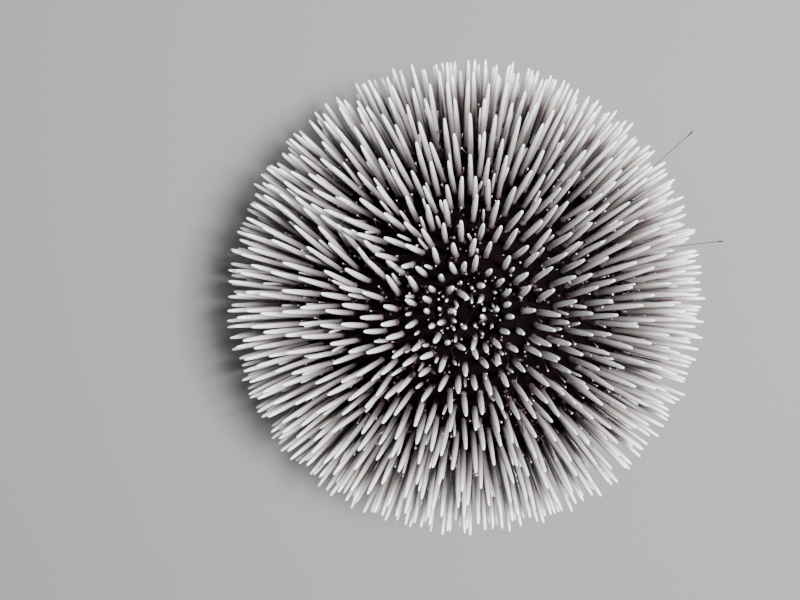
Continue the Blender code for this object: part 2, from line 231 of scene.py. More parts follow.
@dataclass
class SpineRows:
    """Where the long and the short spines stand, and how they lean."""

    row_pitch: float = 0.0042
    first_row: float = 0.0015
    root_wander: float = 0.0004
    mouth_margin: float = 0.0016
    wander: float = math.radians(2.2)
    lengths: tuple = ((0, 0.0140), (0.10, 0.0165), (0.30, 0.0192), (0.60, 0.0198), (0.80, 0.0172),
                      (1, 0.0100))
    leans: tuple = ((0, -3), (0.10, -4), (0.20, -8), (0.32, -8), (0.45, -2), (0.58, 2), (0.74, -10),
                    (0.86, -32), (1, -42))
    fold: float = math.radians(148)
    fold_lean: float = math.radians(12)
    fold_width: float = math.radians(12)
    fold_share: float = 0.25
    fold_reach: float = 0.22
    rib_middle: float = math.radians(-37)
    rib_width: float = math.radians(32)
    rib_closeness: float = 0.62
    rib_shares: tuple = ((0.03, 0), (0.12, 1), (0.50, 1), (0.62, 0))
    all_lean: float = math.radians(6.5)
    all_lean_to: float = math.radians(103)
    all_lean_shares: tuple = ((0.30, 1), (0.60, 0))
    radii: tuple = ((0, 0.00070), (0.15, 0.00071), (0.30, 0.00071), (0.45, 0.00075), (0.62, 0.00078),
                    (1, 0.00070))
    short_share: float = 0.45
    spacings: tuple = ((0, 4.4), (0.15, 3.8), (0.32, 2.5))

    def stagger(self, azimuth: float, share: float, odd: bool) -> float:
        """Gives a long spine's place across its series.

        Args:
            azimuth: Azimuth of the series' middle.
            share: The row's share of the meridian.
            odd: Whether the row is an odd one, which stands in the gaps of the even ones.

        Returns:
            A share of the series' width: near a quarter or three quarters, nearer the middle in ribs.
        """
        off = off_from(azimuth, self.rib_middle)
        window = math.exp(-(off / self.rib_width) ** 4) * between(self.rib_shares, share)
        return 0.5 + (-0.25 if odd else 0.25) * (1 - self.rib_closeness * window)

    def side_lean(self, azimuth: float, share: float) -> float:
        """How far spines lean aside: in slow waves over the test, and together at the fold."""
        lean = (0.020 * math.sin(3 * azimuth + 5.0 * share + 0.4)
                + 0.015 * math.sin(5 * azimuth - 8.0 * share + 2.0))
        near = off_from(azimuth, self.fold) / self.fold_width
        depth = math.exp(-((share - self.fold_share) / self.fold_reach) ** 2)
        return lean - self.fold_lean * depth * near * math.sqrt(2 * math.e) * math.exp(-near * near)

    def zone_spines(self, zone: Zone) -> list[Spine]:
        """Gives a zone's spines.

        Args:
            zone: The zone they stand on.

        Returns:
            The long spines, each followed by the short one beside it where there is one.
        """
        spines = []
        for column, side in enumerate((-1, 1)):
            for row in range(math.ceil((SHAPE.length - self.first_row) / self.row_pitch)):
                level = self.first_row + row * self.row_pitch
                if level > SHAPE.length - self.mouth_margin:
                    continue
                radius = SHAPE.at(level)[0]
                count = max(1, round(radius * zone.kind.half / zone.kind.pitch))
                step = radius * zone.kind.half / count
                for series in range(count):
                    draw = random.Random(f"{zone.name} {column} {row} {series}")
                    middle = zone.middle + side * (series + 0.5) * step / radius
                    stagger = self.stagger(middle, level / SHAPE.length, (row + column) % 2 == 1)
                    across = (series + stagger) * step + draw.uniform(-1, 1) * self.root_wander
                    arc = level + draw.uniform(-1, 1) * self.root_wander
                    place = zone.middle + side * across / radius
                    spines.append(self.long_spine(zone, place, arc, draw))
                    lower = arc + draw.uniform(0.85, 1.15) * self.row_pitch
                    if draw.random() < self.short_share and lower < SHAPE.length - self.mouth_margin:
                        across += draw.uniform(-0.1, 0.1) * step
                        place = zone.middle + side * across / radius
                        spines.append(self.short_spine(zone, place, lower, draw))
        return spines

    def long_spine(self, zone: Zone, azimuth: float, arc: float, draw: random.Random) -> Spine:
        """One spine of the main rows, drawn as its solid was."""
        share = arc / SHAPE.length
        towards = self.pointing(azimuth, share, draw.gauss(0, self.wander), draw.gauss(0, self.wander))
        length = between(self.lengths, share) * draw.uniform(0.94, 1.04)
        radius = between(self.radii, share) * draw.uniform(0.92, 1.06)
        return Spine(zone, azimuth, arc, towards, length, radius, self.wear(share, draw),
                     draw.uniform(0, math.tau))

    def short_spine(self, zone: Zone, azimuth: float, arc: float, draw: random.Random) -> Spine:
        """One of the short spines that stand between the long ones."""
        share = arc / SHAPE.length
        towards = self.pointing(azimuth, share, draw.gauss(0, 0.08), draw.gauss(0, 0.08))
        length = between(self.lengths, share) * draw.uniform(0.30, 0.68)
        radius = between(self.radii, share) * draw.uniform(0.50, 0.72)
        return Spine(zone, azimuth, arc, towards, length, radius, self.wear(share, draw),
                     draw.uniform(0, math.tau))

    def wear(self, share: float, draw: random.Random) -> float:
        """How far a spine's colour goes to the darker worn ramp, from 0 to 1: little near the apex, more
        towards the rim and the underside; partly real wear, mostly painted shade on the lower-lying spines.
        """
        # Painted shade and wear: the lower on the test, the more of the darker ramp.
        worn = between(((0.06, 0.0), (0.25, 0.40), (0.45, 0.70), (0.56, 0.80), (0.70, 1.0)), share)
        return min(1.0, worn + 0.25 * draw.random())

    def pointing(self, azimuth: float, share: float, outwards: float, aside: float) -> Vector:
        """Gives a spine's direction.

        Args:
            azimuth: Its root's azimuth.
            share: Its root's share of the meridian.
            outwards: Its own lean away from the apex, added to the rows' lean.
            aside: Its own lean aside.

        Returns:
            The unit vector from its root to its tip.
        """
        leaning = self.all_lean * between(self.all_lean_shares, share)
        outwards += SHAPE.at(share * SHAPE.length)[2] + math.radians(between(self.leans, share))
        outwards += leaning * math.cos(azimuth - self.all_lean_to)
        aside += self.side_lean(azimuth, share) - leaning * math.sin(azimuth - self.all_lean_to)
        return direction(azimuth, outwards, aside)

    def settle(self, spines: list[Spine]) -> None:
        """Turns spines that would cross a little apart, and ends those that reach the floor on it.

        Args:
            spines: All spines, changed in place.
        """
        roots = np.array([spine.base for spine in spines])
        towards = np.array([spine.towards for spine in spines])
        lengths = np.array([spine.length for spine in spines])[:, None]
        widths = np.array([spine.radius for spine in spines])
        spacings = np.array([between(self.spacings, spine.arc / SHAPE.length) for spine in spines])
        apart = (widths[:, None] + widths[None]) / 2 * (spacings[:, None] + spacings[None]) / 2
        for _ in range(20):
            push = np.zeros_like(towards)
            for reach in (0.6, 0.95):
                points = roots + towards * lengths * reach
                gap = points[:, None] - points[None]
                distance = np.sqrt((gap ** 2).sum(2)) + 1e-9
                short = np.clip(apart - distance, 0, None)
                np.fill_diagonal(short, 0)
                push += (gap * (short / distance)[:, :, None]).sum(1) / (2 * lengths * reach)
            towards = towards + push * 0.35
            towards /= np.linalg.norm(towards, axis=1)[:, None]
        for spine, turned in zip(spines, towards):
            spine.towards = Vector(turned)
            drop = -spine.towards.z * spine.length
            room = spine.base.z - spine.radius * 0.25
            if drop > room:
                spine.length *= room / drop


class Group:
    """A shader node group under construction, with its named inputs and outputs."""

    def __init__(self, name: str, inputs: dict[str, float], outputs: dict[str, str]) -> None:
        """Starts a group.

        Args:
            name: The group's name.
            inputs: Float inputs and their defaults. Vector is always there.
            outputs: Output names and their socket types, Float or Color.
        """
        self.tree = bpy.data.node_groups.new(name, "ShaderNodeTree")
        self.tree.interface.new_socket("Vector", in_out="INPUT", socket_type="NodeSocketVector")
        for label, value in inputs.items():
            socket = self.tree.interface.new_socket(label, in_out="INPUT", socket_type="NodeSocketFloat")
            socket.default_value = value
        for label, kind in outputs.items():
            self.tree.interface.new_socket(label, in_out="OUTPUT", socket_type=f"NodeSocket{kind}")
        self.start = self.tree.nodes.new("NodeGroupInput")
        self.end = self.tree.nodes.new("NodeGroupOutput")

    def add(self, kind: str, links: dict | None = None, **settings) -> bpy.types.Node:
        """Adds a node to the group. See add_node."""
        return add_node(self.tree, kind, links, **settings)


def add_node(tree: bpy.types.NodeTree, kind: str, links: dict | None = None, **settings) -> bpy.types.Node:
    """Adds a shader node.

    Args:
        tree: The material's or group's node tree.
        kind: The node's type without its ShaderNode prefix.
        links: Input name or index to a socket that feeds it, or to a plain value.
        **settings: Attributes to set on the node first.

    Returns:
        The new node.
    """
    node = tree.nodes.new(f"ShaderNode{kind}")
    for label, value in settings.items():
        setattr(node, label, value)
    for label, value in (links or {}).items():
        if isinstance(value, bpy.types.NodeSocket):
            tree.links.new(value, node.inputs[label])
        else:
            node.inputs[label].default_value = value
    return node


def set_ramp(ramp: bpy.types.ColorRamp, stops: tuple) -> None:
    """Sets a colour ramp's stops from (position, colour) pairs."""
    while len(ramp.elements) < len(stops):
        ramp.elements.new(0.5)
    for element, (position, colour) in zip(ramp.elements, stops):
        element.position = position
        element.color = (*colour, 1)


def mottle_group() -> bpy.types.NodeTree:
    """Blotches and fine grain for all living surfaces: a blotch mask, a grain value and a bump height."""
    group = Group("mottle", {"Blotch Scale": 120.0, "Grain Scale": 1400.0},
                  {"Blotch": "Float", "Grain": "Float", "Height": "Float"})
    blotch = group.add("TexNoise", {"Vector": group.start.outputs["Vector"],
                                    "Scale": group.start.outputs["Blotch Scale"], "Detail": 3.0,
                                    "Roughness": 0.55})
    grain = group.add("TexNoise", {"Vector": group.start.outputs["Vector"],
                                   "Scale": group.start.outputs["Grain Scale"], "Detail": 2.0})
    cells = group.add("TexVoronoi", {"Vector": group.start.outputs["Vector"],
                                     "Scale": group.start.outputs["Grain Scale"]}, feature="F1")
    height = group.add("Math", {0: grain.outputs["Fac"], 1: cells.outputs["Distance"]},
                       operation="SUBTRACT")
    spread = group.add("MapRange", {"Value": blotch.outputs["Fac"], "From Min": 0.35, "From Max": 0.65})
    group.tree.links.new(spread.outputs["Result"], group.end.inputs["Blotch"])
    group.tree.links.new(grain.outputs["Fac"], group.end.inputs["Grain"])
    group.tree.links.new(height.outputs[0], group.end.inputs["Height"])
    return group.tree


def flute_group() -> bpy.types.NodeTree:
    """Fine ridges along a spine, from its own map: a ridge mask, with which the spine's finish darkens the
    grooves as painted shade, and a bump height.
    """
    group = Group("flutes", {"Ridges": 22.0}, {"Ridge": "Float", "Height": "Float"})
    parts = group.add("SeparateXYZ", {"Vector": group.start.outputs["Vector"]})
    turns = group.add("Math", {0: parts.outputs["X"], 1: group.start.outputs["Ridges"]},
                      operation="MULTIPLY")
    angle = group.add("Math", {0: turns.outputs[0], 1: math.tau}, operation="MULTIPLY")
    wave = group.add("Math", {0: angle.outputs[0]}, operation="SINE")
    ridge = group.add("MapRange", {"Value": wave.outputs[0], "From Min": -1.0, "From Max": 1.0})
    group.tree.links.new(ridge.outputs["Result"], group.end.inputs["Ridge"])
    group.tree.links.new(ridge.outputs["Result"], group.end.inputs["Height"])
    return group.tree


class Effects:
    """The shader groups that the finishes share, each built once."""

    def __init__(self) -> None:
        """Builds the groups."""
        self.mottle = mottle_group()
        self.flutes = flute_group()


def new_material(name: str, roughness: float, specular: float) -> tuple:
    """Starts a material.

    Args:
        name: The material's name.
        roughness: The shader's roughness.
        specular: The shader's specular level.

    Returns:
        The material, its node tree and its Principled shader.
    """
    material = bpy.data.materials.new(name)
    material.use_nodes = True
    shader = material.node_tree.nodes["Principled BSDF"]
    shader.inputs["Roughness"].default_value = roughness
    shader.inputs["Specular IOR Level"].default_value = specular
    return material, material.node_tree, shader


@dataclass(frozen=True)
class SpineFinish:
    """A spine's lime: dark violet at the root, lilac above it, then grey-white, white at the tip. The worn
    ramp, dark over more of the shaft, is partly real wear and mostly painted shade on lower-lying spines.
    """

    name: str = "spine_lime"
    # Fresh ramp: the violet root is the lime's own colour; the grey of the lower shaft is partly its own
    # colour and partly painted shade.
    fresh: tuple = ((0.055, (0.003, 0.001, 0.003)), (0.085, (0.115, 0.078, 0.098)),
                    (0.15, (0.265, 0.215, 0.235)), (0.28, (0.46, 0.415, 0.42)),
                    (0.55, (0.74, 0.735, 0.715)), (0.90, (0.95, 0.98, 1.0)))
    # Worn ramp: partly real wear, mostly painted shade; black to 0.44 of the length and dark to 0.56, for
    # spines lying in shade.
    worn: tuple = ((0.31, (0.002, 0.001, 0.002)), (0.44, (0.016, 0.004, 0.010)),
                   (0.56, (0.060, 0.030, 0.042)), (0.70, (0.27, 0.24, 0.235)),
                   (0.87, (0.57, 0.575, 0.565)), (0.97, (0.88, 0.96, 1.0)))
    cream: tuple = (0.80, 0.70, 0.56)
    roughness: float = 0.42
    ridge_depth: float = 0.00003

    def material(self, effects: Effects) -> bpy.types.Material:
        """Builds the material on the spine's own map, its tone and Object coordinates."""
        material, tree, shader = new_material(self.name, self.roughness, 0.45)
        own = add_node(tree, "UVMap", uv_map=SHAFT_MAP)
        tone = add_node(tree, "Attribute", attribute_name=TONE)
        space = add_node(tree, "TexCoord")
        parts = add_node(tree, "SeparateXYZ", {"Vector": own.outputs["UV"]})
        mottle = add_node(tree, "Group", node_tree=effects.mottle)
        tree.links.new(space.outputs["Object"], mottle.inputs["Vector"])
        mottle.inputs["Blotch Scale"].default_value = 260.0
        mottle.inputs["Grain Scale"].default_value = 2600.0
        along = add_node(tree, "Math", {0: mottle.outputs["Blotch"], 1: 0.06, 2: parts.outputs["Y"]},
                         operation="MULTIPLY_ADD")
        fresh = add_node(tree, "ValToRGB", {"Fac": along.outputs[0]})
        set_ramp(fresh.color_ramp, self.fresh)
        worn = add_node(tree, "ValToRGB", {"Fac": along.outputs[0]})
        set_ramp(worn.color_ramp, self.worn)
        # The tone picks between the ramps: painted shade and wear darken spines towards the rim and the
        # underside.
        lime = add_node(tree, "Mix", {0: tone.outputs["Fac"], 6: fresh.outputs["Color"],
                                      7: worn.outputs["Color"]}, data_type="RGBA")
        warmth = add_node(tree, "Math", {0: tone.outputs["Fac"], 1: mottle.outputs["Blotch"]},
                          operation="MULTIPLY")
        warm_share = add_node(tree, "Math", {0: warmth.outputs[0], 1: 0.28}, operation="MULTIPLY")
        warm = add_node(tree, "Mix", {0: warm_share.outputs[0], 6: lime.outputs[2], 7: (*self.cream, 1)},
                        data_type="RGBA", blend_type="MULTIPLY")
        flutes = add_node(tree, "Group", node_tree=effects.flutes)
        tree.links.new(own.outputs["UV"], flutes.inputs["Vector"])
        # Painted shade: the grooves between the ridges are darkened to 0.9 of the colour.
        shade = add_node(tree, "MapRange", {"Value": flutes.outputs["Ridge"], "To Min": 0.90,
                                            "To Max": 1.0})
        groove_shaded = add_node(tree, "Mix", {0: 1.0, 6: warm.outputs[2], 7: shade.outputs["Result"]},
                          data_type="RGBA", blend_type="MULTIPLY")
        tree.links.new(groove_shaded.outputs[2], shader.inputs["Base Color"])
        bump = add_node(tree, "Bump", {"Strength": 0.6, "Distance": self.ridge_depth,
                                       "Height": flutes.outputs["Height"]})
        tree.links.new(bump.outputs["Normal"], shader.inputs["Normal"])
        return material


@dataclass(frozen=True)
class LivingFinish:
    """Skin, membrane and soft organs: a ground colour with blotches of a second, and a fine grain."""

    name: str
    ground: tuple
    blotch: tuple
    roughness: float = 0.45
    specular: float = 0.4
    blotch_scale: float = 120.0
    grain_scale: float = 1400.0
    grain_depth: float = 0.00006

    def material(self, effects: Effects) -> bpy.types.Material:
        """Builds the material on Object coordinates."""
        material, tree, shader = new_material(self.name, self.roughness, self.specular)
        space = add_node(tree, "TexCoord")
        mottle = add_node(tree, "Group", node_tree=effects.mottle)
        tree.links.new(space.outputs["Object"], mottle.inputs["Vector"])
        mottle.inputs["Blotch Scale"].default_value = self.blotch_scale
        mottle.inputs["Grain Scale"].default_value = self.grain_scale
        colour = add_node(tree, "Mix", {0: mottle.outputs["Blotch"], 6: (*self.ground, 1),
                                        7: (*self.blotch, 1)}, data_type="RGBA")
        tree.links.new(colour.outputs[2], shader.inputs["Base Color"])
        wet = add_node(tree, "MapRange", {"Value": mottle.outputs["Grain"], "To Min": self.roughness - 0.1,
                                          "To Max": self.roughness + 0.15})
        tree.links.new(wet.outputs["Result"], shader.inputs["Roughness"])
        bump = add_node(tree, "Bump", {"Strength": 0.5, "Distance": self.grain_depth,
                                       "Height": mottle.outputs["Height"]})
        tree.links.new(bump.outputs["Normal"], shader.inputs["Normal"])
        return material


@dataclass(frozen=True)
class StalkFinish:
    """A stalk or foot that changes colour from its root to its head, on its own map."""

    name: str
    stops: tuple
    roughness: float = 0.4

    def material(self, effects: Effects) -> bpy.types.Material:
        """Builds the material on the piece's own map and tone."""
        material, tree, shader = new_material(self.name, self.roughness, 0.4)
        own = add_node(tree, "UVMap", uv_map=SHAFT_MAP)
        tone = add_node(tree, "Attribute", attribute_name=TONE)
        space = add_node(tree, "TexCoord")
        parts = add_node(tree, "SeparateXYZ", {"Vector": own.outputs["UV"]})
        mottle = add_node(tree, "Group", node_tree=effects.mottle)
        tree.links.new(space.outputs["Object"], mottle.inputs["Vector"])
        mottle.inputs["Blotch Scale"].default_value = 900.0
        ramp = add_node(tree, "ValToRGB", {"Fac": parts.outputs["Y"]})
        set_ramp(ramp.color_ramp, self.stops)
        shade = add_node(tree, "MapRange", {"Value": tone.outputs["Fac"], "To Min": 0.30, "To Max": 1.0})
        patchy = add_node(tree, "Math", {0: mottle.outputs["Blotch"], 1: 0.25, 2: shade.outputs["Result"]},
                          operation="MULTIPLY_ADD")
        toned = add_node(tree, "Mix", {0: 1.0, 6: ramp.outputs["Color"], 7: patchy.outputs[0]},
                         data_type="RGBA", blend_type="MULTIPLY")
        tree.links.new(toned.outputs[2], shader.inputs["Base Color"])
        return material


def turned(profile: list[tuple[float, float]], segments: int) -> bmesh.types.BMesh:
    """Turns an open profile about the Z axis.

    Args:
        profile: Points of radius and height, with any end at radius 0 closed to a pole.
        segments: Faces round the turn.

    Returns:
        The turned surface, closed where the profile meets the axis at both ends.
    """
    bm = bmesh.new()
    verts = [bm.verts.new((radius, 0, z)) for radius, z in profile]
    edges = [bm.edges.new(pair) for pair in zip(verts, verts[1:])]
    bmesh.ops.spin(bm, geom=verts + edges, cent=(0, 0, 0), axis=(0, 0, 1), angle=math.tau,
                   steps=segments, use_merge=True, use_duplicate=False)
    bmesh.ops.remove_doubles(bm, verts=bm.verts, dist=1e-7)
    bmesh.ops.recalc_face_normals(bm, faces=bm.faces)
    return bm


def finish_mesh(name: str, bm: bmesh.types.BMesh, materials: list[bpy.types.Material]) -> bpy.types.Object:
    """Makes a piece of a bmesh and lets it ride on the body.

    Args:
        name: The piece's name.
        bm: Its mesh, freed here.
        materials: Its materials in slot order.

    Returns:
        The new object.
    """
    mesh = bpy.data.meshes.new(name)
    bm.to_mesh(mesh)
    bm.free()
    mesh.shade_smooth()
    for material in materials:
        mesh.materials.append(material)
    piece = bpy.data.objects.new(name, mesh)
    bpy.context.scene.collection.objects.link(piece)
    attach(piece, BODY)
    log.info("%s: %d faces", name, len(mesh.polygons))
    return piece


class Template:
    """A small shape that is set many times into one piece, with its own map round and along it."""

    def __init__(self, bm: bmesh.types.BMesh, height: float) -> None:
        """Keeps a shape that stands on its root at the origin, along +Z.

        Args:
            bm: The shape, freed here.
            height: The height that the map calls 1.
        """
        layer = bm.loops.layers.uv.new(SHAFT_MAP)
        for face in bm.faces:
            centre = face.calc_center_median()
            middle = math.atan2(centre.y, centre.x) / math.tau
            for loop in face.loops:
                co = loop.vert.co
                round_ = math.atan2(co.y, co.x) / math.tau if math.hypot(co.x, co.y) > 1e-6 else middle
                round_ = middle + (round_ - middle + 0.5) % 1 - 0.5
                loop[layer].uv = (round_ + 0.5, co.z / height)
        self.mesh = bpy.data.meshes.new("template")
        bm.to_mesh(self.mesh)
        bm.free()
        self.map = np.empty(len(self.mesh.loops) * 2)
        self.mesh.uv_layers[SHAFT_MAP].data.foreach_get("uv", self.map)
        self.map = self.map.reshape(-1, 2)


class Growth:
    """One piece made of many templates, each with a tone and a patch of the bake map at its root."""

    def __init__(self, patch: tuple[float, float] = (0.024, 0.030)) -> None:
        """Starts an empty piece.

        Args:
            patch: Width and height of each root's patch on the bake map.
        """
        self.bm = bmesh.new()
        self.patch = patch
        self.maps: list[np.ndarray] = []
        self.bakes: list[np.ndarray] = []
        self.tones: list[np.ndarray] = []

    def add(self, template: Template, matrix: Matrix, tone: float, root: tuple[float, float]) -> None:
        """Sets one copy of a template.

        Args:
            template: The shape.
            matrix: Its place.
            tone: A number from 0 to 1 that varies its colour.
            root: Its root's place on the unwrapped skin, from 0 to 1 both ways.
        """
        copy = template.mesh.copy()
        copy.transform(matrix)
        self.bm.from_mesh(copy)
        bpy.data.meshes.remove(copy)
        self.maps.append(template.map)
        centred = (template.map - 0.5) * np.array(self.patch)
        inside = np.clip(np.array(root), np.array(self.patch), 1 - np.array(self.patch))
        self.bakes.append(centred + inside)
        self.tones.append(np.full(len(template.mesh.vertices), tone))

    def finish(self, name: str, materials: list[bpy.types.Material], slot: str) -> bpy.types.Object:
        """Makes the piece and writes its maps and tones. See finish_mesh."""
        piece = finish_mesh(name, self.bm, materials)
        mesh = piece.data
        mesh.uv_layers[SHAFT_MAP].data.foreach_set("uv", np.concatenate(self.maps).ravel())
        bake = mesh.uv_layers.new(name=BAKE_MAP)
        bake.data.foreach_set("uv", np.concatenate(self.bakes).ravel())
        tone = mesh.attributes.new(TONE, "FLOAT", "POINT")
        tone.data.foreach_set("value", np.concatenate(self.tones).astype(np.float32))
        return piece


def standing(base: Vector, towards: Vector, scale: tuple[float, float, float], roll: float = 0.0) -> Matrix:
    """The place of a template: at a base, its +Z towards a direction, scaled across and along."""
    turn = towards.to_track_quat("Z", "Y").to_matrix().to_4x4()
    return (Matrix.Translation(base) @ turn @ Matrix.Rotation(roll, 4, "Z")
            @ Matrix.Diagonal((*scale, 1)))


@dataclass
class SpineCoat:
    """The long and short spines of all zones, with the tubercles and muscles they stand on."""

    rows: SpineRows
    segments: int = 8
    profile: tuple = ((1.40, 0.012), (1.25, 0.036), (0.90, 0.058), (1.04, 0.18), (1.05, 0.46),
                      (0.90, 0.72), (0.67, 0.900), (0.44, 0.976), (0.0, 1.0))
    boss_profile: tuple = ((2.10, -0.030), (1.75, 0.004), (1.10, 0.020))

    def template(self, bend: float) -> Template:
        """A spine of unit radius and length, bent a little in its plane, on its domed boss."""
        bm = turned([(1.1, -0.02), *self.profile], self.segments)
        for vert in bm.verts:
            vert.co.x += bend * vert.co.z * (1 - vert.co.z)
        boss = turned(list(self.boss_profile), self.segments)
        mesh = bpy.data.meshes.new("boss")
        boss.to_mesh(mesh)
        boss.free()
        before = len(bm.faces)
        bm.from_mesh(mesh)
        bm.faces.ensure_lookup_table()
        for face in bm.faces[before:]:
            face.material_index = 1
        return Template(bm, 1.0)

    def build(self, spine_material: bpy.types.Material, skin_material: bpy.types.Material) -> None:
        """Builds one piece of spines for each zone.

        Args:
            spine_material: The finish of the shafts.
            skin_material: The finish of the bosses.
        """
        templates = [self.template(bend) for bend in (0.0, 0.35, -0.45, 0.8)]
        spines = [spine for zone in ZONES for spine in self.rows.zone_spines(zone)]
        self.rows.settle(spines)
        for zone in ZONES:
            growth = Growth()
            for spine in (s for s in spines if s.zone == zone):
                template = templates[int(spine.roll / math.tau * 3.999)]
                scale = (spine.radius, spine.radius, spine.length)
                place = standing(spine.base, spine.towards, scale, spine.roll)
                across = 0.5 + (spine.azimuth - zone.middle) / (2 * zone.kind.half) * 0.94
                growth.add(template, place, spine.tone, (across, spine.arc / SHAPE.length))
            growth.finish(f"spines_{zone.name}", [spine_material, skin_material], "test_and_spines")


@dataclass
class TestSkin:
    """The one skin over all ten zones, with its plates' sutures pressed in."""

    segments: int = 240
    steps: int = 130
    suture_depth: float = 0.00016
    suture_width: float = 0.00035
    plate_pitch: float = 0.0043
    recess_top: float = 0.0025
    recess_below: float = 0.0019

    def suture(self, azimuth: float, arc: float, radius: float) -> float:
        """How deep the surface is pressed in at a place, from the nearest suture between plates."""
        nearest = 1.0
        for zone in ZONES:
            off = off_from(azimuth, zone.middle)
            if abs(off) <= zone.kind.half + 1e-6:
                side = 1 if off > 0 else 0
                row = (arc / self.plate_pitch + side / 2) % 1
                zigzag = abs(off) * radius - 0.0006 * abs(2 * row - 1)
                nearest = min(abs(zigzag), (zone.kind.half - abs(off)) * radius,
                              min(row, 1 - row) * self.plate_pitch)
                break
        return math.exp(-(nearest / self.suture_width) ** 2)

    def build(self, material: bpy.types.Material) -> None:
        """Builds the skin, which stands for the ten zones' solids."""
        arcs = [SHAPE.length * i / self.steps for i in range(self.steps + 1)]
        outline = [SHAPE.at(arc)[:2] for arc in arcs]
        top = (outline[0][1] - self.recess_top, outline[0][0])
        below = (outline[-1][1] + self.recess_below, outline[-1][0])
        bm = turned([(0.0, top[0]), (top[1], top[0]), *outline, (below[1], below[0]), (0.0, below[0])],
                    self.segments)
        points = SHAPE.points
        for vert in bm.verts:
            radius = math.hypot(vert.co.x, vert.co.y)
            near = int(((points[:, 0] - radius) ** 2 + (points[:, 1] - vert.co.z) ** 2).argmin())
            if math.hypot(points[near, 0] - radius, points[near, 1] - vert.co.z) > 0.0003:
                continue
            arc = float(SHAPE.arcs[near])
            if 0.0004 < arc < SHAPE.length - 0.0004:
                azimuth = math.atan2(vert.co.y, vert.co.x)
                depth = self.suture(azimuth, arc, radius) * self.suture_depth
                vert.co -= direction(azimuth, SHAPE.at(arc)[2]) * depth
        piece = finish_mesh("test_skin", bm, [material])
        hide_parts(*[zone.name for zone in ZONES])


@dataclass
class Pincers:
    """The stalked pincers among the spines: thin dark stalks with pale three-lobed heads."""

    count: int = 1050
    head_radius: float = 0.00027
    stalk_radius: float = 0.00011
    heights: tuple = (0.0030, 0.0085)
    apical_count: int = 38
    apical_radius: float = 0.0080
    apical_heights: tuple = (0.0030, 0.0075)
    lowest_head: float = 0.002

    def head_template(self) -> Template:
        """A head of three bulging jaws, of unit radius, from its neck up."""
        bm = turned([(0.42, 0.0), (0.95, 0.75), (1.0, 1.25), (0.70, 1.85), (0.0, 2.1)], 9)
        for vert in bm.verts:
            angle = math.atan2(vert.co.y, vert.co.x)
            pinch = 1 - 0.16 * (1 - math.cos(3 * angle)) / 2
            vert.co.x *= pinch
            vert.co.y *= pinch
        return Template(bm, 2.1)

    def stalk_template(self) -> Template:
        """A thin straight stalk of unit radius and height, a little thicker at both ends."""
        bm = turned([(0.0, -0.05), (1.5, 0.0), (1.0, 0.3), (0.9, 0.7), (1.1, 1.0), (0.0, 1.01)], 5)
        return Template(bm, 1.0)

    def build(self, head: bpy.types.Material, stalk: bpy.types.Material) -> None:
        """Scatters the pincers evenly over the test, thickest on the upper side."""
        heads, stalks = Growth((0.004, 0.004)), Growth((0.003, 0.004))
        head_shape, stalk_shape = self.head_template(), self.stalk_template()
        draw = random.Random("pincers")
        for number in range(self.count):
            arc = self.arc_at((number + 0.5) / self.count)
            azimuth = golden_azimuth(number) + draw.uniform(-0.05, 0.05)
            arc = min(max(arc + draw.uniform(-1, 1) * 0.001, 0.0006), SHAPE.length - 0.0006)
            base = SHAPE.place(azimuth, arc, -ROOT_SINK)
            self.add(heads, stalks, head_shape, stalk_shape, base,
                     direction(azimuth, SHAPE.at(arc)[2] + draw.gauss(0, 0.22), draw.gauss(0, 0.22)),
                     draw.uniform(*self.heights), draw, (azimuth / math.tau % 1, arc / SHAPE.length))
        for number in range(self.apical_count):
            radius = self.apical_radius * math.sqrt((number + 0.5) / self.apical_count)
            azimuth = golden_azimuth(number)
            base = polar(radius, azimuth, SHAPE.height_at(radius, True) - ROOT_SINK)
            self.add(heads, stalks, head_shape, stalk_shape, base,
                     direction(azimuth, draw.uniform(0, 0.35), draw.gauss(0, 0.2)),
                     draw.uniform(*self.apical_heights), draw, (azimuth / math.tau % 1, 0.0))
        heads.finish("pincer_heads", [head], "test_and_spines")
        stalks.finish("pincer_stalks", [stalk], "test_and_spines")

    def arc_at(self, share: float) -> float:
        """The arc below which a share of the test's area lies."""
        if not hasattr(self, "areas"):
            rings = SHAPE.points[:, 0] * np.gradient(SHAPE.arcs)
            self.areas = np.cumsum(rings) / rings.sum()
        return float(np.interp(share, self.areas, SHAPE.arcs))

    def add(self, heads: Growth, stalks: Growth, head: Template, stalk: Template, base: Vector,
            towards: Vector, height: float, draw: random.Random, root: tuple[float, float]) -> None:
        """Sets one pincer: its stalk, and its head at the stalk's end."""
        tone = draw.random()
        top = base + towards * height
        if top.z < self.lowest_head:
            return
        width = self.stalk_radius
        stalks.add(stalk, standing(base, towards, (width, width, height)), tone, root)
        size = self.head_radius * draw.uniform(0.5, 1.25)
        place = standing(top - towards * size * 0.3, towards, (size, size, size), draw.uniform(0, 6))
        heads.add(head, place, tone, root)


